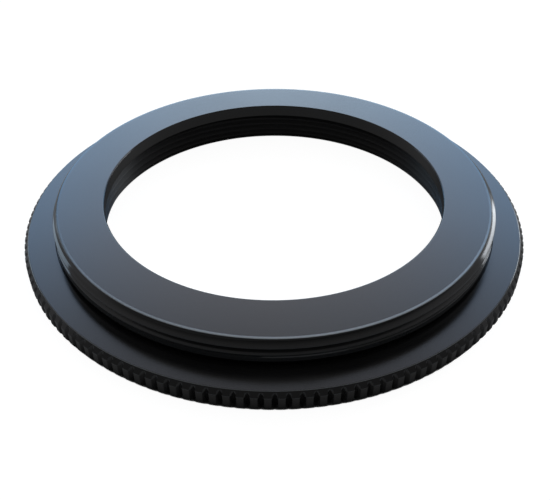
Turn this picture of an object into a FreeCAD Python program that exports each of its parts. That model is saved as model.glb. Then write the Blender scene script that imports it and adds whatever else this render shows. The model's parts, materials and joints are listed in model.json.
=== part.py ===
import FreeCAD, Part

import math
import os

# Lens adapter ring: one turned piece with a knurled flange, a boss for the male thread and a bore for the
# smaller female thread. Millimetres, +Z along the ring's axis, origin at the centre of the bottom face.

# Threads: the male thread is nominal, and the female one is a step smaller
male_thread_diameter = 46.0
diameter_step = 9.0
thread_pitch = 0.75
thread_flank_angle = 60.0
male_thread_allowance = 0.02
thread_relief_clearance = 0.07

# Flange with its knurled rim
flange_overhang = 3.2
flange_thickness = 2.08
rim_chamfer_top = 0.45
rim_chamfer_bottom = 0.45
knurl_teeth = 144
knurl_depth = 0.4
knurl_notch_angle = 70.0

# Boss above the flange
boss_height = 2.66
boss_lead_chamfer = 0.5
boss_relief_floor = 0.15
seat_relief_depth = 0.08
seat_relief_margin = 0.12

# Bore with the lip at its top and the countersunk mouth at its bottom
lip_thickness = 1.33
lip_step = 0.36
lip_edge_break = 0.1
bore_relief_floor = 0.4
mouth_countersink = 0.75

# Thread form: the sharp triangle's height gives both threads' depths
half_flank_slope = math.tan(math.radians(thread_flank_angle / 2))
sharp_height = thread_pitch / (2 * half_flank_slope)
male_thread_depth = sharp_height * 17 / 24
female_thread_depth = sharp_height * 5 / 8

# Radii
male_nominal_radius = male_thread_diameter / 2
female_nominal_radius = (male_thread_diameter - diameter_step) / 2
rim_radius = male_nominal_radius + flange_overhang
boss_radius = male_nominal_radius - male_thread_allowance
boss_relief_radius = boss_radius - male_thread_depth - thread_relief_clearance
bore_radius = female_nominal_radius - female_thread_depth
bore_relief_radius = female_nominal_radius + thread_relief_clearance
lip_radius = bore_radius - lip_step
seat_radius = boss_radius + seat_relief_margin
mouth_radius = bore_radius + mouth_countersink

# Heights
ring_height = flange_thickness + boss_height
lip_underside = ring_height - lip_thickness
seat_relief_floor = flange_thickness - seat_relief_depth
boss_relief_top = flange_thickness + boss_relief_floor
boss_thread_start = boss_relief_top + (boss_radius - boss_relief_radius) * half_flank_slope
bore_relief_bottom = lip_underside - bore_relief_floor
bore_thread_end = bore_relief_bottom - (bore_relief_radius - bore_radius) * half_flank_slope


def turned_blank():
    """The ring as it leaves the lathe: its section carried once round the axis."""
    flange_side = [
        (mouth_radius, 0),
        (rim_radius - rim_chamfer_bottom, 0),
        (rim_radius, rim_chamfer_bottom),
        (rim_radius, flange_thickness - rim_chamfer_top),
        (rim_radius - rim_chamfer_top, flange_thickness),
    ]
    boss_side = [
        (seat_radius, flange_thickness),
        (seat_radius - seat_relief_depth, seat_relief_floor),
        (boss_relief_radius, seat_relief_floor),
        (boss_relief_radius, boss_relief_top),
        (boss_radius, boss_thread_start),
        (boss_radius, ring_height - boss_lead_chamfer),
        (boss_radius - boss_lead_chamfer, ring_height),
    ]
    bore_side = [
        (lip_radius + lip_edge_break, ring_height),
        (lip_radius, ring_height - lip_edge_break),
        (lip_radius, lip_underside),
        (bore_relief_radius, lip_underside),
        (bore_relief_radius, bore_relief_bottom),
        (bore_radius, bore_thread_end),
        (bore_radius, mouth_countersink),
    ]
    corners = [FreeCAD.Vector(radius, 0, height) for radius, height in flange_side + boss_side + bore_side]
    section = Part.Face(Part.makePolygon(corners + corners[:1]))
    return section.revolve(FreeCAD.Vector(0, 0, 0), FreeCAD.Vector(0, 0, 1), 360)


def knurl_notches():
    """The V notches of the straight knurl, spaced evenly round the rim and as long as the flange is thick."""
    reach = 2 * knurl_depth
    half_width = reach * math.tan(math.radians(knurl_notch_angle / 2))
    root_radius = rim_radius - knurl_depth
    corners = [
        FreeCAD.Vector(root_radius, 0, 0),
        FreeCAD.Vector(root_radius + reach, -half_width, 0),
        FreeCAD.Vector(root_radius + reach, half_width, 0),
    ]
    section = Part.Face(Part.makePolygon(corners + corners[:1]))
    notch = section.extrude(FreeCAD.Vector(0, 0, flange_thickness))
    notches = []
    for tooth in range(knurl_teeth):
        turned = notch.copy()
        turned.rotate(FreeCAD.Vector(0, 0, 0), FreeCAD.Vector(0, 0, 1), 360 * tooth / knurl_teeth)
        notches.append(turned)
    return notches


def adapter_ring():
    """The finished ring: the turned blank with the knurl cut into its rim."""
    return turned_blank().cut(knurl_notches())


os.makedirs("parts", exist_ok=True)
adapter_ring().exportStep("parts/adapter_ring.step")
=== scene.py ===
"""The looks of a lens adapter ring: a turned, knurled and threaded ring in satin black anodise, in metres.

The ring is one closed surface. Its section is walked once round: out along the underside, up the knurled
rim, in over the flange, up the male thread, in over the top face, down the lip and down the female thread.
"""
import json
import logging
import math
from dataclasses import dataclass
from enum import Enum
from typing import Any

import bpy
import numpy as np
from mathutils import Matrix, Quaternion, Vector


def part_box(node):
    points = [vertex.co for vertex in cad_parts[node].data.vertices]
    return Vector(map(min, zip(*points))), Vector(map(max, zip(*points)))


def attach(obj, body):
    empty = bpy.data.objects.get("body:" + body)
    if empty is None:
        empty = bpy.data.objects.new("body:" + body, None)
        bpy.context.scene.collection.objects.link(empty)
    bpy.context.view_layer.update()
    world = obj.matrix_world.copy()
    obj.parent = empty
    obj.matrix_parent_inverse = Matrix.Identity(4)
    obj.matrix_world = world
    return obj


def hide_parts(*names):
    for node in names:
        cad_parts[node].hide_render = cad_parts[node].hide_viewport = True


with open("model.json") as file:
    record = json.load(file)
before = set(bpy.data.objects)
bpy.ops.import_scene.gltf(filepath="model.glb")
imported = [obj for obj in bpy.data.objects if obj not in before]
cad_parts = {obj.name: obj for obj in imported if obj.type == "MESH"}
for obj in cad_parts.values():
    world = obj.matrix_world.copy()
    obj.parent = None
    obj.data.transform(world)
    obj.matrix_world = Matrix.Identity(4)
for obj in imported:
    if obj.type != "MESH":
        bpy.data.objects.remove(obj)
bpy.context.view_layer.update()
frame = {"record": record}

LOG = logging.getLogger("adapter_ring")

MM = 0.001
FULL_TURN = 2 * math.pi

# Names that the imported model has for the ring
RING_NODE = "adapter_ring"
RING_BODY = "root"

# Meshes: points that round to the same weld step become one, and no edge is sharper than half a turn
WELD_STEP = 1e-4 * MM
EDGE_ATTRIBUTE = "edge"
ALL_SMOOTH = math.pi

# Beside an eased corner: its support row and the flat that it needs, in multiples of the ease
EASE_SUPPORT = 1.6
FLAT_MARGIN = 4

# Filter threads: the sharp triangle's height gives both threads' depths
THREAD_PITCH = 0.75 * MM
HALF_FLANK_SLOPE = math.tan(math.radians(30))
SHARP_HEIGHT = THREAD_PITCH / (2 * HALF_FLANK_SLOPE)
MALE_DEPTH = SHARP_HEIGHT * 17 / 24
FEMALE_DEPTH = SHARP_HEIGHT * 5 / 8

# Shader nodes: the value that noise varies about, and the Mix node's sockets for colours
NOISE_MEAN = 0.5
MIX_SHARE = 0
MIX_FIRST = 6
MIX_SECOND = 7
MIX_RESULT = 2

Colour = tuple[float, float, float, float]


class ThreadSide(Enum):
    """Which way a thread's groove is cut from its crest: towards the axis or away from it."""

    MALE = -1
    FEMALE = 1


@dataclass(frozen=True)
class Corner:
    """A turned section's corner, eased over a length on each side, with its wear and painted highlight.

    The second side's ease is the first's times the stretch. A lean above one moves the peak of the wear
    and painted highlight towards that side.
    """

    radius: float
    height: float
    ease: float = 0.0
    # Metal shown at the corner: wear, and a painted highlight
    wear_and_highlight: float = 0.0
    stretch: float = 1.0
    lean: float = 1.0


@dataclass(frozen=True)
class Outline:
    """A line in a turned section, row by row: radius, height, and edge wear with painted highlight."""

    radius: np.ndarray
    height: np.ndarray
    edge: np.ndarray


@dataclass(frozen=True)
class Patch:
    """A stretch of turned skin: rows follow the section and columns go round, the last onto the first."""

    points: np.ndarray
    edge: np.ndarray


def knee(distance: np.ndarray, ease: float) -> np.ndarray:
    """A ramp that starts at nought, eased by a parabola: 0, then (d + e)^2 / 4e for |d| < e, then d.

    Args:
        distance: how far past the ramp's start each point lies.
        ease: half the length of the parabola.

    Returns:
        The ramp's height at each point.
    """
    eased = (distance + ease) ** 2 / (4 * ease)
    return np.where(distance <= -ease, 0.0, np.where(distance >= ease, distance, eased))


def eased_outline(corners: list[Corner], rows: int = 4) -> Outline:
    """Joins corners by straight sides and draws a parabola inside each eased corner.

    The parabola at corner Q leaves its sides at A and B: (1 - s)^2 A + 2 s (1 - s) Q + s^2 B. One row more,
    the support, lies on each side, so that the shading stays flat on the flat sides.

    Args:
        corners: the corners in order; the first and the last are left sharp.
        rows: how many rows a parabola has.

    Returns:
        The outline; its wear and painted highlight rise and fall as half a sine wave over each eased corner.
    """
    spot = np.array([(corner.radius, corner.height) for corner in corners])
    ease = np.array([corner.ease for corner in corners])[:, None]
    # Wear and painted highlight of each corner
    wear_and_highlight = np.array([corner.wear_and_highlight for corner in corners])[:, None]
    stretch = np.array([corner.stretch for corner in corners])[:, None]
    lean = np.array([corner.lean for corner in corners])[:, None]
    to_last = np.roll(spot, 1, axis=0) - spot
    to_next = np.roll(spot, -1, axis=0) - spot
    to_last = to_last / np.linalg.norm(to_last, axis=1, keepdims=True)
    to_next = to_next / np.linalg.norm(to_next, axis=1, keepdims=True)
    share = np.linspace(0.0, 1.0, rows)[None, :, None]
    start = (spot + ease * to_last)[:, None]
    end = (spot + stretch * ease * to_next)[:, None]
    curve = (1 - share) ** 2 * start + 2 * share * (1 - share) * spot[:, None] + share**2 * end
    before = (spot + EASE_SUPPORT * ease * to_last)[:, None]
    after = (spot + EASE_SUPPORT * stretch * ease * to_next)[:, None]
    line = np.concatenate([before, curve, after], axis=1).reshape(-1, 2)
    peak = np.sin(np.pi * share[:, :, 0] ** lean)
    edge = np.pad(wear_and_highlight * peak, ((0, 0), (1, 1))).ravel()
    moved = np.linalg.norm(np.diff(line, axis=0), axis=1) > WELD_STEP
    keep = np.concatenate([[True], moved])
    return Outline(line[keep, 0], line[keep, 1], edge[keep])


def turned_patch(outline: Outline, angles: np.ndarray) -> Patch:
    """Carries an outline round the axis: x = r cos a, y = r sin a, z = height.

    Args:
        outline: the rows.
        angles: the columns' angles, from nought to a full turn.

    Returns:
        The turned patch.
    """
    radius = np.broadcast_to(outline.radius[:, None], (outline.radius.size, angles.size))
    height = np.broadcast_to(outline.height[:, None], radius.shape)
    edge = np.broadcast_to(outline.edge[:, None], radius.shape)
    return polar_patch(radius, height, angles, edge)


def polar_patch(radius: np.ndarray, height: np.ndarray, angles: np.ndarray, edge: np.ndarray) -> Patch:
    """Places a grid given by radius, height and angle: x = r cos a, y = r sin a, z = height.

    Args:
        radius: radius of each grid point.
        height: height of each grid point.
        angles: angle of each column.
        edge: edge wear and painted highlight of each grid point.

    Returns:
        The patch in metres.
    """
    points = np.stack([radius * np.cos(angles), radius * np.sin(angles), height], axis=-1)
    return Patch(points, edge)


def even_angles(columns: int) -> np.ndarray:
    """Angles of evenly spaced columns, with the last one a full turn after the first."""
    return np.linspace(0.0, FULL_TURN, columns + 1)


@dataclass(frozen=True)
class ThreadForm:
    """A 60 degree filter thread: crest flat, two straight flanks and a root, eased where they meet."""

    side: ThreadSide
    crest_radius: float
    depth: float
    first_crest: float
    pitch: float = THREAD_PITCH
    half_flank_slope: float = HALF_FLANK_SLOPE
    ease: float = 0.018 * MM
    # How the crests' wear and painted highlight fade into the groove
    wear_and_highlight_fade: float = 0.2

    @property
    def crest_half(self) -> float:
        """Half of the crest flat, a sixteenth of the pitch."""
        return self.pitch / 16

    @property
    def root_start(self) -> float:
        """Distance from the crest's middle at which the flank meets the root."""
        return self.crest_half + self.depth * self.half_flank_slope

    def row_shares(self) -> np.ndarray:
        """Places of the rows within one pitch: the corners, the flanks' middles and the root's middle.

        Returns:
            The places as shares of the pitch, measured from the crest's middle.
        """
        distances = np.array([
            self.crest_half - self.ease,
            self.crest_half,
            self.crest_half + self.ease,
            (self.crest_half + self.root_start) / 2,
            self.root_start - self.ease,
            self.root_start + self.ease,
        ])
        shares = distances / self.pitch
        return np.concatenate([shares, [0.5], 1 - shares[::-1]])

    def groove(self, height: np.ndarray, angles: np.ndarray) -> np.ndarray:
        """Depth of the groove: nought on the crest, then down the flank at its slope, then level in the root.

        The distance from the nearest crest is measured along the axis, after taking off the helix's rise.

        Args:
            height: height of each point.
            angles: angle of each point.

        Returns:
            The depth below the crest at each point.
        """
        turns = (height - self.first_crest) / self.pitch - angles / FULL_TURN
        distance = np.abs(turns - np.round(turns)) * self.pitch
        ramp = knee(distance - self.crest_half, self.ease) - knee(distance - self.root_start, self.ease)
        return ramp / self.half_flank_slope

    def rows(self, low: float, high: float) -> np.ndarray:
        """Heights at angle nought of the rows that sweep a zone in one turn of the helix.

        Args:
            low: height at which the zone starts.
            high: height at which the zone ends.

        Returns:
            The heights, from low to high.
        """
        first = math.floor((low - self.first_crest) / self.pitch) - 1
        last = math.ceil((high - self.first_crest) / self.pitch)
        turns = np.arange(first, last + 1)[:, None] + self.row_shares()[None, :]
        return self.first_crest + self.pitch * turns.ravel()

    def patch(
        self, low: float, high: float, angles: np.ndarray, limit: np.ndarray, fade: np.ndarray | None = None
    ) -> Patch:
        """The threaded zone: rows climb with the helix, z = z0 + pitch * a / 2 pi, and stop at its ends.

        The radius is the crest's less or plus the groove, and the turned blank limits it. Wear and painted
        highlight show where the blank is left, and fade over a share of the depth.

        Args:
            low: height at which the zone starts.
            high: height at which the zone ends.
            angles: the columns' angles.
            limit: the turned blank against height, as three rows: heights, radii and edge wear with painted
                highlight.
            fade: share of the full groove against height, as two rows: heights and shares. Without it the
                groove is full everywhere.

        Returns:
            The patch, from low to high.
        """
        climb = self.rows(low, high)[:, None] + self.pitch * angles[None, :] / FULL_TURN
        height = np.clip(climb, low, high)
        depth = self.groove(height, angles[None, :])
        if fade is not None:
            depth = depth * np.interp(height, fade[0], fade[1])
        blank = np.interp(height, limit[0], limit[1])
        cut = self.crest_radius + self.side.value * depth
        radius = np.minimum(cut, blank) if self.side is ThreadSide.MALE else np.maximum(cut, blank)
        on_blank = np.clip(1 - np.abs(blank - radius) / (self.wear_and_highlight_fade * self.depth), 0, 1)
        return polar_patch(radius, height, angles, np.interp(height, limit[0], limit[2]) * on_blank)


@dataclass(frozen=True)
class KnurledFlange:
    """The flange: a chamfered rim with a straight knurl across it."""

    rim_radius: float
    thickness: float
    chamfer_top: float = 0.45 * MM
    chamfer_bottom: float = 0.45 * MM
    teeth: int = 144
    notch_depth: float = 0.4 * MM
    notch_angle: float = math.radians(70)
    root_ease: float = 0.03 * MM
    land_ease: float = 0.03 * MM
    edge_ease: float = 0.05 * MM
    edge_rows: int = 3
    chamfer_rows: int = 7
    # Metal on the rim, the seat's edge and the lands: wear, and a painted highlight
    rim_wear_and_highlight: float = 0.1
    seat_edge_wear_and_highlight: float = 0.4
    land_wear_and_highlight_fade: float = 0.3

    @property
    def notch_slope(self) -> float:
        """How far a notch's flank leans sideways for each step outwards."""
        return math.tan(self.notch_angle / 2)

    @property
    def notch_half_width(self) -> float:
        """Half of a notch's width at the rim."""
        return self.notch_depth * self.notch_slope

    def columns(self) -> np.ndarray:
        """Angles of the columns: ten to a tooth, at the notch's root and flanks and on the land.

        Returns:
            The angles, from nought to a full turn.
        """
        tooth = FULL_TURN / self.teeth
        places = np.array([
            0.0,
            self.root_ease,
            self.notch_half_width - self.land_ease,
            self.notch_half_width,
            self.notch_half_width + self.land_ease,
        ]) / self.rim_radius
        one_tooth = np.concatenate([places, [tooth / 2], tooth - places[:0:-1]])
        starts = tooth * np.arange(self.teeth)
        return np.append((starts[:, None] + one_tooth[None, :]).ravel(), FULL_TURN)

    def knurl_radius(self, angles: np.ndarray) -> np.ndarray:
        """Radius that the knurl leaves: the rim's, less a V notch whose depth falls evenly from root to land.

        Args:
            angles: the columns' angles.

        Returns:
            The radius at each column.
        """
        tooth = FULL_TURN / self.teeth
        along = self.rim_radius * (angles - tooth * np.round(angles / tooth))
        from_root = np.sqrt(along**2 + self.root_ease**2)
        return self.rim_radius - knee(self.notch_half_width - from_root, self.land_ease) / self.notch_slope

    def rim_outline(self) -> Outline:
        """The rim's outline without its knurl, with rows along both chamfers for the notches to end on.

        Returns:
            The outline, from the bottom face up to the flange's top face.
        """
        wall_low = self.chamfer_bottom
        wall_high = self.thickness - self.chamfer_top
        inset_low = self.rim_radius - self.chamfer_bottom
        inset_high = self.rim_radius - self.chamfer_top
        margin = FLAT_MARGIN * self.edge_ease
        inner = np.linspace(0, 1, self.chamfer_rows + 2)[1:-1]
        corners = [
            Corner(inset_low - margin, 0.0),
            Corner(inset_low, 0.0, self.edge_ease, self.rim_wear_and_highlight),
        ]
        corners += [Corner(inset_low + share * self.chamfer_bottom, share * wall_low) for share in inner]
        corners += [
            Corner(self.rim_radius, wall_low, self.edge_ease, self.rim_wear_and_highlight),
            Corner(self.rim_radius, wall_high, self.edge_ease, self.rim_wear_and_highlight),
        ]
        corners += [
            Corner(self.rim_radius - share * self.chamfer_top, wall_high + share * self.chamfer_top)
            for share in inner
        ]
        corners += [
            Corner(inset_high, self.thickness, self.edge_ease, self.seat_edge_wear_and_highlight),
            Corner(inset_high - margin, self.thickness),
        ]
        return eased_outline(corners, rows=self.edge_rows)

    def patch(self) -> Patch:
        """The rim: at each point the smaller of the outline's radius and the knurl's.

        Wear and painted highlight show on chamfers and lands, and fade into a notch by exp(-(depth /
        fade)^2).

        Returns:
            The patch, from the bottom face up to the flange's top face.
        """
        outline = self.rim_outline()
        angles = self.columns()
        knurl = self.knurl_radius(angles)[None, :]
        plain = np.broadcast_to(outline.radius[:, None], (outline.radius.size, angles.size))
        radius = np.minimum(plain, knurl)
        height = np.broadcast_to(outline.height[:, None], radius.shape)
        from_land = self.rim_radius - knurl
        on_land = np.exp(-((from_land / (self.land_wear_and_highlight_fade * self.notch_depth)) ** 2))
        on_chamfer = (plain < knurl) * 1.0
        edge = outline.edge[:, None] * np.maximum(on_land, on_chamfer)
        return polar_patch(radius, height, angles, edge)


@dataclass(frozen=True)
class ThreadedBoss:
    """The boss on the flange: a corner relief, a thread relief, the male thread, a lead chamfer and the top.

    The groove starts a little above the relief's flank and deepens over the run-out's length. The top's edge
    shows wear and a painted highlight on one side, round that side's angle.
    """

    thread: ThreadForm
    seat_height: float
    top_height: float
    lead_chamfer: float = 0.5 * MM
    relief_floor: float = 0.15 * MM
    relief_clearance: float = 0.07 * MM
    seat_relief_depth: float = 0.08 * MM
    seat_relief_margin: float = 0.12 * MM
    top_edge_ease: float = 0.06 * MM
    top_edge_stretch: float = 4.5
    # Metal on the top's edge: wear, and a painted highlight
    top_edge_wear_and_highlight: float = 1.0
    top_edge_lean: float = 1.3
    lip_ease_share: float = 0.4
    lead_rows: int = 9
    run_out_start: float = 0.5 * MM
    run_out_length: float = 0.25 * MM
    # Metal on the crests, and the side of the top's edge that shows it: wear and painted highlight
    crest_wear_and_highlight: float = 0.07
    wear_and_highlight_angle: float = math.radians(279)

    @property
    def relief_radius(self) -> float:
        """Radius of the relief that the thread runs out into."""
        return self.thread.crest_radius - self.thread.depth - self.relief_clearance

    @property
    def relief_top(self) -> float:
        """Height at which the relief's plain floor ends."""
        return self.seat_height + self.relief_floor

    @property
    def chamfer_start(self) -> float:
        """Height at which the lead chamfer starts."""
        return self.top_height - self.lead_chamfer

    def lead_outline(self, lip_radius: float, lip_break: float) -> Outline:
        """The lead chamfer, the top's eased edge and the top face, in to the lip's broken edge.

        Args:
            lip_radius: radius of the lip's bore.
            lip_break: size of the lip's broken edge.

        Returns:
            The outline, from the chamfer's start inwards.
        """
        crest = self.thread.crest_radius
        top_edge = Corner(
            radius=crest - self.lead_chamfer,
            height=self.top_height,
            ease=self.top_edge_ease,
            wear_and_highlight=self.top_edge_wear_and_highlight,
            stretch=self.top_edge_stretch,
            lean=self.top_edge_lean,
        )
        return eased_outline([
            Corner(crest, self.chamfer_start),
            top_edge,
            Corner(lip_radius + lip_break, self.top_height, self.lip_ease_share * lip_break),
            Corner(lip_radius, self.top_height - lip_break),
        ], rows=self.lead_rows)

    def thread_end(self, lead: Outline) -> int:
        """Number of the first row of the lead that lies inside the thread's root, where no groove is left."""
        return int(np.argmax(lead.radius <= self.thread.crest_radius - self.thread.depth))

    def foot_patch(self, angles: np.ndarray) -> Patch:
        """The corner relief in the flange and the plain floor of the thread relief.

        Args:
            angles: the columns' angles.

        Returns:
            The patch, from the flange's top face to the end of the floor.
        """
        seat_radius = self.thread.crest_radius + self.seat_relief_margin
        floor = self.seat_height - self.seat_relief_depth
        return turned_patch(eased_outline([
            Corner(seat_radius, self.seat_height),
            Corner(seat_radius - self.seat_relief_depth, floor),
            Corner(self.relief_radius, floor),
            Corner(self.relief_radius, self.relief_top),
        ]), angles)

    def thread_patch(self, lead: Outline, angles: np.ndarray) -> Patch:
        """The male thread, which deepens above the relief's flank and runs out through the lead chamfer.

        Args:
            lead: outline of the lead chamfer and the top.
            angles: the columns' angles.

        Returns:
            The patch, from the relief up to the row where no groove is left.
        """
        crest = self.thread.crest_radius
        start = self.relief_top + (crest - self.relief_radius) * self.thread.half_flank_slope
        rows = self.thread_end(lead) + 1
        limit = np.stack([
            np.concatenate([[self.relief_top, start], lead.height[:rows]]),
            np.concatenate([[self.relief_radius, crest], lead.radius[:rows]]),
            np.concatenate([[0.0, self.crest_wear_and_highlight, self.crest_wear_and_highlight], np.zeros(rows - 1)]),
        ])
        cut_start = start + self.run_out_start
        fade = np.array([[cut_start, cut_start + self.run_out_length], [0.0, 1.0]])
        return self.thread.patch(self.relief_top, lead.height[rows - 1], angles, limit, fade)

    def top_patch(self, lead: Outline, angles: np.ndarray) -> Patch:
        """The lead's rest and the top face, with edge wear and painted highlight on one side: by cos(a - side
        angle).

        Args:
            lead: outline of the lead chamfer and the top.
            angles: the columns' angles.

        Returns:
            The patch, from the row where no groove is left in to the lip.
        """
        first = self.thread_end(lead)
        patch = turned_patch(Outline(lead.radius[first:], lead.height[first:], lead.edge[first:]), angles)
        return Patch(patch.points, patch.edge * np.maximum(np.cos(angles - self.wear_and_highlight_angle), 0.0))


@dataclass(frozen=True)
class LippedBore:
    """The bore: a plain lip at the top, a thread relief, the female thread and a countersunk mouth."""

    thread: ThreadForm
    top_height: float
    lip_thickness: float = 1.33 * MM
    lip_step: float = 0.36 * MM
    lip_break: float = 0.1 * MM
    relief_floor: float = 0.4 * MM
    relief_clearance: float = 0.07 * MM
    mouth_countersink: float = 0.75 * MM
    edge_ease: float = 0.04 * MM
    lip_wear: float = 0.05
    mouth_wear: float = 0.3

    @property
    def lip_radius(self) -> float:
        """Radius of the lip's plain bore."""
        return self.thread.crest_radius - self.lip_step

    @property
    def root_radius(self) -> float:
        """Radius at the thread's root."""
        return self.thread.crest_radius + self.thread.depth

    @property
    def relief_radius(self) -> float:
        """Radius of the relief between the thread and the lip."""
        return self.root_radius + self.relief_clearance

    @property
    def underside(self) -> float:
        """Height of the lip's underside."""
        return self.top_height - self.lip_thickness

    @property
    def relief_bottom(self) -> float:
        """Height at which the relief's plain floor ends."""
        return self.underside - self.relief_floor

    @property
    def thread_start(self) -> float:
        """Height at which the countersink has grown past the thread's root."""
        return self.mouth_countersink - self.thread.depth - self.edge_ease

    @property
    def mouth_radius(self) -> float:
        """Radius of the mouth at the bottom face."""
        return self.thread.crest_radius + self.mouth_countersink

    def lip_patch(self, angles: np.ndarray) -> Patch:
        """The lip's bore, its underside and the plain floor of the relief above the thread.

        Args:
            angles: the columns' angles.

        Returns:
            The patch, from the lip's broken edge down.
        """
        return turned_patch(eased_outline([
            Corner(self.lip_radius, self.top_height - self.lip_break),
            Corner(self.lip_radius, self.underside, self.edge_ease, self.lip_wear),
            Corner(self.relief_radius, self.underside),
            Corner(self.relief_radius, self.relief_bottom),
        ]), angles)

    def thread_patch(self, angles: np.ndarray) -> Patch:
        """The female thread, from the relief's flank down into the countersink, with no wear or painted
        highlight.

        Args:
            angles: the columns' angles.

        Returns:
            The patch, from the relief down.
        """
        crest = self.thread.crest_radius
        rise = (self.relief_radius - crest) * self.thread.half_flank_slope
        heights = [0.0, self.mouth_countersink, self.relief_bottom - rise, self.relief_bottom]
        radii = [self.mouth_radius, crest, crest, self.relief_radius]
        limit = np.array([heights, radii, np.zeros(len(heights))])
        upward = self.thread.patch(self.thread_start, self.relief_bottom, angles, limit)
        return Patch(upward.points[::-1], upward.edge[::-1])

    def mouth_patch(self, angles: np.ndarray) -> Patch:
        """The rest of the countersink, out to the bottom face.

        Args:
            angles: the columns' angles.

        Returns:
            The patch, from the thread's start out.
        """
        return turned_patch(eased_outline([
            Corner(self.mouth_radius - self.thread_start, self.thread_start),
            Corner(self.mouth_radius, 0.0, self.edge_ease, self.mouth_wear),
            Corner(self.mouth_radius + FLAT_MARGIN * self.edge_ease, 0.0),
        ]), angles)


class Skin:
    """Gathers patches, stitches the rings between them and welds them to one mesh."""

    def __init__(self) -> None:
        """Starts with no points and no faces."""
        self.points: list[np.ndarray] = []
        self.edges: list[np.ndarray] = []
        self.quads: list[np.ndarray] = []
        self.triangles: list[np.ndarray] = [np.empty((0, 3), dtype=np.int64)]
        self.count = 0

    def add(self, patch: Patch) -> tuple[np.ndarray, np.ndarray]:
        """Adds a patch with a quad for each grid cell.

        Args:
            patch: the patch.

        Returns:
            The numbers of the points in its first and its last row.
        """
        rows, columns = patch.edge.shape
        number = self.count + np.arange(rows * columns).reshape(rows, columns)
        corners = (number[:-1, :-1], number[:-1, 1:], number[1:, 1:], number[1:, :-1])
        self.points.append(patch.points.reshape(-1, 3))
        self.edges.append(patch.edge.ravel())
        self.quads.append(np.stack(corners, axis=-1).reshape(-1, 4))
        self.count += rows * columns
        return number[0], number[-1]

    def stitch(self, fine: np.ndarray, coarse: np.ndarray, fine_first: bool) -> None:
        """Fills the flat ring between a fine and a coarse row with triangles.

        Each coarse step takes the same number of fine steps: the first half of them meet at its start and the
        rest at its end, and one triangle more closes the step.

        Args:
            fine: numbers of the fine row's points.
            coarse: numbers of the coarse row's points.
            fine_first: whether the section's walk meets the fine row first.
        """
        ratio = (fine.size - 1) // (coarse.size - 1)
        step = np.arange(coarse.size - 1)
        halfway = ratio // 2
        fine_step = np.arange(fine.size - 1)
        apex = coarse[fine_step // ratio + (fine_step % ratio >= halfway)]
        fans = np.stack([fine[:-1], fine[1:], apex], axis=-1)
        closers = np.stack([fine[step * ratio + halfway], coarse[step + 1], coarse[step]], axis=-1)
        triangles = np.concatenate([fans, closers])
        self.triangles.append(triangles if fine_first else triangles[:, ::-1])

    def mesh(self, name: str, sharp_angle: float) -> bpy.types.Mesh:
        """Welds points that coincide, drops the faces that vanish and makes the mesh.

        A quad with two neighbouring corners in one place becomes a triangle.

        Args:
            name: the mesh's name.
            sharp_angle: angle above which an edge between faces is shaded sharp.

        Returns:
            The mesh, with the edge wear and painted highlight as an attribute.
        """
        points = np.concatenate(self.points)
        keys = np.round(points / WELD_STEP).astype(np.int64)
        _, first, place = np.unique(keys, axis=0, return_index=True, return_inverse=True)
        quads = place.ravel()[np.concatenate(self.quads)]
        triangles = place.ravel()[np.concatenate(self.triangles)]
        same_next = quads == np.roll(quads, -1, axis=1)
        crossed = (quads[:, 0] == quads[:, 2]) | (quads[:, 1] == quads[:, 3])
        whole = quads[~same_next.any(axis=1) & ~crossed]
        pinched = quads[(same_next.sum(axis=1) == 1) & ~crossed]
        pinch = np.argmax(pinched == np.roll(pinched, -1, axis=1), axis=1)
        turn = (pinch[:, None] + np.arange(1, 4)[None, :]) % 4
        pinched = np.take_along_axis(pinched, turn, axis=1)
        mesh = bpy.data.meshes.new(name)
        mesh.from_pydata(points[first].tolist(), [], whole.tolist() + pinched.tolist() + triangles.tolist())
        wear_and_highlight = mesh.attributes.new(EDGE_ATTRIBUTE, "FLOAT", "POINT")
        wear_and_highlight.data.foreach_set("value", np.concatenate(self.edges)[first].astype(np.float32))
        mesh.shade_smooth()
        mesh.set_sharp_from_angle(angle=sharp_angle)
        mesh.validate()
        mesh.update()
        return mesh


class Shade:
    """A number that varies over a surface: a socket with Python's operators, which each add a Math node."""

    def __init__(self, bench: "NodeBench", socket: bpy.types.NodeSocket) -> None:
        """Keeps the bench that makes the nodes, and the socket."""
        self.bench = bench
        self.socket = socket

    def math(self, operation: str, *others: "Shade | float") -> "Shade":
        """Adds a Math node of that operation, with this value first."""
        return self.bench.math(operation, self, *others)

    def __add__(self, other: "Shade | float") -> "Shade":
        """This plus other."""
        return self.bench.math("ADD", self, other)

    def __sub__(self, other: "Shade | float") -> "Shade":
        """This less other."""
        return self.bench.math("SUBTRACT", self, other)

    def __rsub__(self, other: float) -> "Shade":
        """Other less this."""
        return self.bench.math("SUBTRACT", other, self)

    def __mul__(self, other: "Shade | float") -> "Shade":
        """This times other."""
        return self.bench.math("MULTIPLY", self, other)

    __radd__ = __add__
    __rmul__ = __mul__

    def ramp(self, start: float, end: float) -> "Shade":
        """A smooth rise from 0 to 1 as this goes from start to end.

        Args:
            start: value at which the rise starts.
            end: value at which it ends, which may be the lower one.

        Returns:
            The rise.
        """
        settings = {"interpolation_type": "SMOOTHSTEP"}
        inputs = {"Value": self, "From Min": start, "From Max": end}
        return self.bench.shade(self.bench.add("ShaderNodeMapRange", settings, inputs))


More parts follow.
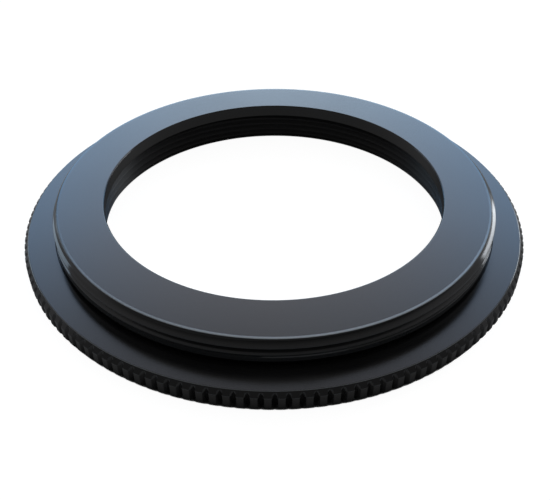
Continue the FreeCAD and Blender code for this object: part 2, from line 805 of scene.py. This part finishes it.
class NodeBench:
    """Makes and links the nodes of one material or world."""

    def __init__(self, tree: bpy.types.NodeTree) -> None:
        """Clears the tree and keeps it."""
        tree.nodes.clear()
        self.tree = tree

    def add(self, kind: str, settings: dict[str, Any], inputs: dict[Any, Any]) -> bpy.types.Node:
        """Makes one node: its settings first, then the values or links of its sockets.

        Args:
            kind: the node's type.
            settings: the node's own properties.
            inputs: socket name or number against a value, a Shade or a socket.

        Returns:
            The node.
        """
        node = self.tree.nodes.new(kind)
        for name, value in settings.items():
            setattr(node, name, value)
        for name, value in inputs.items():
            source = value.socket if isinstance(value, Shade) else value
            if isinstance(source, bpy.types.NodeSocket):
                self.tree.links.new(source, node.inputs[name])
            else:
                node.inputs[name].default_value = source
        return node

    def shade(self, node: bpy.types.Node, output: str | int = 0) -> Shade:
        """An output of a node as a Shade."""
        return Shade(self, node.outputs[output])

    def math(self, operation: str, *values: Shade | float) -> Shade:
        """A Math node of that operation on the values."""
        return self.shade(self.add("ShaderNodeMath", {"operation": operation}, dict(enumerate(values))))

    def noise(self, place: bpy.types.NodeSocket, scale: float, detail: float) -> Shade:
        """Noise of that scale at a place, about 0.5 in the mean."""
        inputs = {"Vector": place, "Scale": scale, "Detail": detail}
        return self.shade(self.add("ShaderNodeTexNoise", {}, inputs), "Fac")

    def mix(self, share: Shade, first: Any, second: Any) -> bpy.types.NodeSocket:
        """The colour between two colours at that share."""
        inputs = {MIX_SHARE: share, MIX_FIRST: first, MIX_SECOND: second}
        return self.add("ShaderNodeMix", {"data_type": "RGBA"}, inputs).outputs[MIX_RESULT]


@dataclass(frozen=True)
class BlackAnodise:
    """Satin black anodise over fine turning: a dark body, a soft gloss, turned lay, grain, edge wear and
    painted highlight.

    The thread-cut wall of the bore, inside a radius and below the lip, is rougher than the rest. The values
    for smudge, lay and grain in roughness, bump, and edge wear with painted highlight say how much each
    pattern adds there.
    """

    bore_radius: float
    bore_top: float
    name: str = "black_anodise"
    body: Colour = (0.0044, 0.0044, 0.0046, 1.0)
    bloom: Colour = (0.0062, 0.0063, 0.0067, 1.0)
    # Light metal on the edges, for wear and for a painted highlight
    worn_and_highlight: Colour = (0.54, 0.58, 0.6, 1.0)
    wear_and_highlight_share: float = 0.35
    wear_and_highlight_grain_share: float = 0.4
    roughness: float = 0.145
    smudge_roughness: float = 0.1
    lay_roughness: float = 0.015
    bore_roughness: float = 0.52
    bore_blend: float = 0.1 * MM
    lay_stretch: float = 0.93
    across_lay: float = 0.25
    refraction: float = 1.45
    lay_per_metre: float = 6000.0
    lay_detail: float = 2.0
    lay_drift: float = 0.004
    grain_per_metre: float = 9000.0
    grain_detail: float = 1.0
    smudge_per_metre: float = 140.0
    smudge_detail: float = 3.0
    lay_bump: float = 0.6
    grain_bump: float = 0.4
    bump_strength: float = 0.1
    bump_height: float = 0.0035 * MM

    def material(self) -> bpy.types.Material:
        """Makes the material.

        Lay is noise on radius and height, with a slight drift along x, so it runs round the axis as turning
        marks do. Grain is fine even noise, and smudge is broad. Lay and grain make the bump, smudge varies
        the colour, and smudge and lay vary the roughness. The edge attribute, broken up by the grain, lays
        metal on the edges: wear, and a painted highlight.

        Returns:
            The material.
        """
        material = bpy.data.materials.new(self.name)
        material.use_nodes = True
        bench = NodeBench(material.node_tree)
        place = bench.add("ShaderNodeTexCoord", {}, {}).outputs["Object"]
        parts = bench.add("ShaderNodeSeparateXYZ", {}, {"Vector": place})
        x, y, z = (bench.shade(parts, axis) for axis in "XYZ")
        radius = (x * x + y * y).math("SQRT")
        around = bench.add("ShaderNodeCombineXYZ", {}, {"X": radius, "Y": z, "Z": x * self.lay_drift})
        lay = bench.noise(around.outputs["Vector"], self.lay_per_metre, self.lay_detail)
        grain = bench.noise(place, self.grain_per_metre, self.grain_detail)
        smudge = bench.noise(place, self.smudge_per_metre, self.smudge_detail)
        edge = bench.shade(bench.add("ShaderNodeAttribute", {"attribute_name": EDGE_ATTRIBUTE}, {}), "Fac")
        # Metal on the edges: wear, and a painted highlight
        bare_and_highlight = (edge * (self.wear_and_highlight_share + grain * self.wear_and_highlight_grain_share)).math("MINIMUM", 1.0)
        body = bench.mix(smudge, self.body, self.bloom)
        colour = bench.mix(bare_and_highlight, body, self.worn_and_highlight)
        within = radius.ramp(self.bore_radius + self.bore_blend, self.bore_radius)
        below = z.ramp(self.bore_top, self.bore_top - self.bore_blend)
        added = within * below * (self.bore_roughness - self.roughness)
        smudged = self.roughness + (smudge - NOISE_MEAN) * self.smudge_roughness
        roughness = smudged + (lay - NOISE_MEAN) * self.lay_roughness + added
        bump = bench.add("ShaderNodeBump", {}, {
            "Strength": self.bump_strength,
            "Distance": self.bump_height,
            "Height": lay * self.lay_bump + grain * self.grain_bump,
        })
        shader = bench.add("ShaderNodeBsdfPrincipled", {}, {
            "Base Color": colour,
            "Metallic": bare_and_highlight,
            "Roughness": roughness,
            "IOR": self.refraction,
            "Anisotropic": self.lay_stretch,
            "Anisotropic Rotation": self.across_lay,
            "Normal": bump.outputs["Normal"],
        })
        bench.add("ShaderNodeOutputMaterial", {}, {"Surface": shader.outputs["BSDF"]})
        return material


@dataclass(frozen=True)
class StudioPaper:
    """Pale paper under and round the ring: nearly white, with a dark line of painted contact shadow where it
    stands.
    """

    name: str = "studio_paper"
    pale: Colour = (0.18, 0.18, 0.18, 1.0)
    glow: float = 0.95
    mirrored_share: float = 0.28
    shade_reach: float = 5.0 * MM
    shade_dark: float = 0.52
    shade_clear: float = 1.0
    # A painted contact shadow: the glow fades out close under the ring
    contact_shadow_reach: float = 0.21 * MM
    contact_shadow_dark: float = 0.62
    contact_shadow_clear: float = 0.84

    def material(self) -> bpy.types.Material:
        """Makes the material: lit paper, with an even glow for the camera and a share for mirrored rays.

        The glow fades out close under the ring, which paints the dark line of its contact shadow. In mirrored
        rays it fades over the wider reach of the ring's shade.

        Returns:
            The material.
        """
        material = bpy.data.materials.new(self.name)
        material.use_nodes = True
        bench = NodeBench(material.node_tree)
        path = bench.add("ShaderNodeLightPath", {}, {})
        rays = ("Is Camera Ray", "Is Glossy Ray", "Is Transmission Ray")
        camera, glossy, transmitted = (bench.shade(path, ray) for ray in rays)
        lit = bench.add("ShaderNodeBsdfDiffuse", {}, {"Color": self.pale}).outputs["BSDF"]
        glow = bench.add("ShaderNodeEmission", {}, {"Strength": self.glow}).outputs["Emission"]
        glowing = bench.add("ShaderNodeAddShader", {}, {0: lit, 1: glow}).outputs["Shader"]
        reaches = (self.contact_shadow_reach, self.shade_reach)
        near_open, wide_open = (
            bench.shade(bench.add("ShaderNodeAmbientOcclusion", {}, {"Distance": reach}), "AO")
            for reach in reaches
        )
        # Painted contact shadow under the ring
        contact_shadow = near_open.ramp(self.contact_shadow_dark, self.contact_shadow_clear)
        shade = wide_open.ramp(self.shade_dark, self.shade_clear)
        shares = camera * contact_shadow + (glossy + transmitted) * shade * self.mirrored_share
        paper = bench.add("ShaderNodeMixShader", {}, {0: shares, 1: lit, 2: glowing})
        bench.add("ShaderNodeOutputMaterial", {}, {"Surface": paper.outputs["Shader"]})
        return material


@dataclass(frozen=True)
class RoomLight:
    """Soft light from all round: a dim room, a pale ceiling, and a window behind the ring, bluish low down.

    A blue glow reaches past the window on both sides. The camera itself sees a white backdrop instead.

    A direction is a unit vector. Its x tells how far it points sideways, and its climb is the angle in the
    plane of y and z: nought at the back, a quarter turn straight up.
    """

    dim: Colour = (0.18, 0.18, 0.18, 1.0)
    side_glow: Colour = (1.45, 2.65, 4.3, 1.0)
    ceiling: Colour = (0.45, 0.45, 0.46, 1.0)
    window_low: Colour = (2.8, 3.9, 5.1, 1.0)
    window_high: Colour = (2.35, 2.2, 2.25, 1.0)
    backdrop: Colour = (1.0, 1.0, 1.0, 1.0)
    ceiling_end: float = math.radians(125)
    ceiling_full: float = math.radians(80)
    window_end: float = math.radians(53)
    window_full: float = math.radians(38)
    glow_end: float = math.radians(52)
    glow_full: float = math.radians(33)
    blue_end: float = math.radians(42)
    blue_full: float = math.radians(20)
    window_edge: float = 0.5
    window_core: float = 0.0
    glow_edge: float = 0.62
    glow_core: float = 0.34

    def world(self) -> bpy.types.World:
        """Makes the world: smooth ramps lay the ceiling, the side glow and the window over the dim room.

        Returns:
            The world.
        """
        world = bpy.data.worlds.new("room")
        world.use_nodes = True
        bench = NodeBench(world.node_tree)
        direction = bench.add("ShaderNodeTexCoord", {}, {}).outputs["Generated"]
        parts = bench.add("ShaderNodeSeparateXYZ", {}, {"Vector": direction})
        x, y, z = (bench.shade(parts, axis) for axis in "XYZ")
        climb = z.math("ARCTAN2", y)
        overhead = climb.ramp(self.ceiling_end, self.ceiling_full)
        sideways = x.math("ABSOLUTE")
        low = climb.ramp(self.window_end, self.window_full)
        window = bench.mix(climb.ramp(self.blue_end, self.blue_full), self.window_high, self.window_low)
        room = bench.mix(overhead, self.dim, self.ceiling)
        beside = climb.ramp(self.glow_end, self.glow_full) * sideways.ramp(self.glow_edge, self.glow_core)
        glowing = bench.mix(beside, room, self.side_glow)
        colour = bench.mix(low * sideways.ramp(self.window_edge, self.window_core), glowing, window)
        camera = bench.shade(bench.add("ShaderNodeLightPath", {}, {}), "Is Camera Ray")
        shown = bench.mix(camera, colour, self.backdrop)
        light = bench.add("ShaderNodeBackground", {}, {"Color": shown, "Strength": 1.0})
        bench.add("ShaderNodeOutputWorld", {}, {"Surface": light.outputs["Background"]})
        return world


@dataclass(frozen=True)
class AdapterRing:
    """The whole ring: flange, boss and bore welded to one skin, in black anodise."""

    flange: KnurledFlange
    boss: ThreadedBoss
    bore: LippedBore
    finish: BlackAnodise
    columns: int = 360
    sharp_angle: float = math.radians(35)

    @classmethod
    def from_frame(cls) -> "AdapterRing":
        """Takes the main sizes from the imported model's box and mounts.

        Returns:
            The ring.
        """
        _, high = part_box(RING_NODE)
        mounts = {mount["name"]: mount for mount in frame["record"]["mounts"]}
        seat_height = mounts["flange_seat"]["pos_m"][2]
        male = ThreadForm(
            side=ThreadSide.MALE,
            crest_radius=mounts["male_thread"]["dims"]["r_mm"] * MM,
            depth=MALE_DEPTH,
            first_crest=3.46 * MM,
        )
        female = ThreadForm(
            side=ThreadSide.FEMALE,
            crest_radius=mounts["female_thread"]["dims"]["r_mm"] * MM,
            depth=FEMALE_DEPTH,
            first_crest=1.2 * MM,
        )
        bore = LippedBore(thread=female, top_height=high.z)
        return cls(
            flange=KnurledFlange(rim_radius=high.x, thickness=seat_height),
            boss=ThreadedBoss(thread=male, seat_height=seat_height, top_height=high.z),
            bore=bore,
            finish=BlackAnodise(bore_radius=bore.relief_radius, bore_top=bore.underside),
        )

    def build(self) -> bpy.types.Object:
        """Walks the section once round and makes the ring's object.

        Returns:
            The object, at the origin.
        """
        angles = even_angles(self.columns)
        skin = Skin()
        rim_start, rim_end = skin.add(self.flange.patch())
        foot_start, _ = skin.add(self.boss.foot_patch(angles))
        lead = self.boss.lead_outline(self.bore.lip_radius, self.bore.lip_break)
        skin.add(self.boss.thread_patch(lead, angles))
        skin.add(self.boss.top_patch(lead, angles))
        skin.add(self.bore.lip_patch(angles))
        skin.add(self.bore.thread_patch(angles))
        _, mouth_end = skin.add(self.bore.mouth_patch(angles))
        skin.stitch(rim_end, foot_start, fine_first=True)
        skin.stitch(rim_start, mouth_end, fine_first=False)
        ring = bpy.data.objects.new("ring", skin.mesh("ring", self.sharp_angle))
        bpy.context.scene.collection.objects.link(ring)
        return ring

    def dress(self, ring: bpy.types.Object) -> None:
        """Gives the ring its finish, its body and the node that it stands for.

        Args:
            ring: the ring's object.
        """
        ring.data.materials.append(self.finish.material())
        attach(ring, RING_BODY)
        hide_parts(RING_NODE)


@dataclass(frozen=True)
class SoftBox:
    """A rectangular studio lamp that faces the ring, turned about its own axis by a slant."""

    name: str
    place: tuple[float, float, float]
    width: float
    height: float
    watts: float
    slant: float
    colour: tuple[float, float, float]

    def hang(self) -> None:
        """Adds the lamp at its place, turned to face the ring."""
        lamp = bpy.data.lights.new(self.name, "AREA")
        lamp.shape = "RECTANGLE"
        lamp.size = self.width
        lamp.size_y = self.height
        lamp.energy = self.watts
        lamp.color = self.colour
        holder = bpy.data.objects.new(self.name, lamp)
        holder.location = self.place
        holder.rotation_mode = "QUATERNION"
        facing = (-Vector(self.place)).to_track_quat("-Z", "Y")
        holder.rotation_quaternion = facing @ Quaternion((0.0, 0.0, 1.0), self.slant)
        bpy.context.scene.collection.objects.link(holder)


@dataclass(frozen=True)
class PhotoCamera:
    """The camera at the photograph's place: where it stands, what it looks at, its roll and its lens."""

    place: tuple[float, float, float] = (0.0, -64.271 * MM, 47.827 * MM)
    aim: tuple[float, float, float] = (0.094 * MM, 0.0, -4.057 * MM)
    roll: float = math.radians(-0.223)
    lens: float = 47.616
    sensor: float = 36.0
    nearest: float = 1 * MM
    farthest: float = 10.0

    def stand(self) -> None:
        """Adds the camera and makes it the scene's own."""
        data = bpy.data.cameras.new("photo_camera")
        data.sensor_width = self.sensor
        data.lens = self.lens
        data.clip_start = self.nearest
        data.clip_end = self.farthest
        forward = (Vector(self.aim) - Vector(self.place)).normalized()
        level = forward.cross(Vector((0, 0, 1))).normalized()
        upward = level.cross(forward)
        right = math.cos(self.roll) * level + math.sin(self.roll) * upward
        top = right.cross(forward)
        turn = Matrix((right, top, -forward)).transposed()
        camera = bpy.data.objects.new("photo_camera", data)
        camera.matrix_world = Matrix.Translation(self.place) @ turn.to_4x4()
        bpy.context.scene.collection.objects.link(camera)
        bpy.context.scene.camera = camera


@dataclass(frozen=True)
class Studio:
    """Pale paper with a low wall all round, the room's light, soft lamps and the camera."""

    paper: StudioPaper
    room: RoomLight
    lamps: tuple[SoftBox, ...]
    camera: PhotoCamera
    floor_gap: float = 0.02 * MM
    wall_radius: float = 0.9
    wall_height: float = 0.13
    cove: float = 0.08
    cove_rows: int = 16
    columns: int = 96

    def lay_paper(self) -> None:
        """Adds the paper: a disc that turns up into a wall, carried round the axis."""
        outline = eased_outline([
            Corner(self.wall_radius, self.wall_height),
            Corner(self.wall_radius, -self.floor_gap, self.cove),
            Corner(0.0, -self.floor_gap),
        ], rows=self.cove_rows)
        skin = Skin()
        skin.add(turned_patch(outline, even_angles(self.columns)))
        paper = bpy.data.objects.new("paper", skin.mesh("paper", ALL_SMOOTH))
        paper.data.materials.append(self.paper.material())
        bpy.context.scene.collection.objects.link(paper)

    def light(self) -> None:
        """Sets the room's light and hangs the lamps."""
        bpy.context.scene.world = self.room.world()
        for lamp in self.lamps:
            lamp.hang()

    def build(self) -> None:
        """Lays the paper, sets the light and stands the camera."""
        self.lay_paper()
        self.light()
        self.camera.stand()
        bpy.context.scene.view_settings.view_transform = "Standard"


def side_windows() -> tuple[SoftBox, ...]:
    """The two lamps behind the ring, on its right and on its left.

    Returns:
        The lamps, the right one first.
    """
    right = SoftBox(
        name="right_window",
        place=(0.344, 0.259, 0.132),
        width=0.21,
        height=0.1,
        watts=0.54,
        slant=math.radians(-45),
        colour=(0.94, 1.0, 1.07),
    )
    left = SoftBox(
        name="left_window",
        place=(-0.362, 0.235, 0.125),
        width=0.2,
        height=0.16,
        watts=0.2,
        slant=math.radians(45),
        colour=(0.75, 1.0, 1.25),
    )
    return right, left


def main() -> None:
    """Builds the ring and the studio, and reports them."""
    logging.basicConfig(level=logging.INFO, format="%(name)s: %(message)s")
    ring_maker = AdapterRing.from_frame()
    ring = ring_maker.build()
    ring_maker.dress(ring)
    LOG.info("ring: %d points, %d faces", len(ring.data.vertices), len(ring.data.polygons))
    studio = Studio(paper=StudioPaper(), room=RoomLight(), lamps=side_windows(), camera=PhotoCamera())
    studio.build()
    LOG.info("studio: %d lamps", len(studio.lamps))


if __name__ == "__main__":
    main()
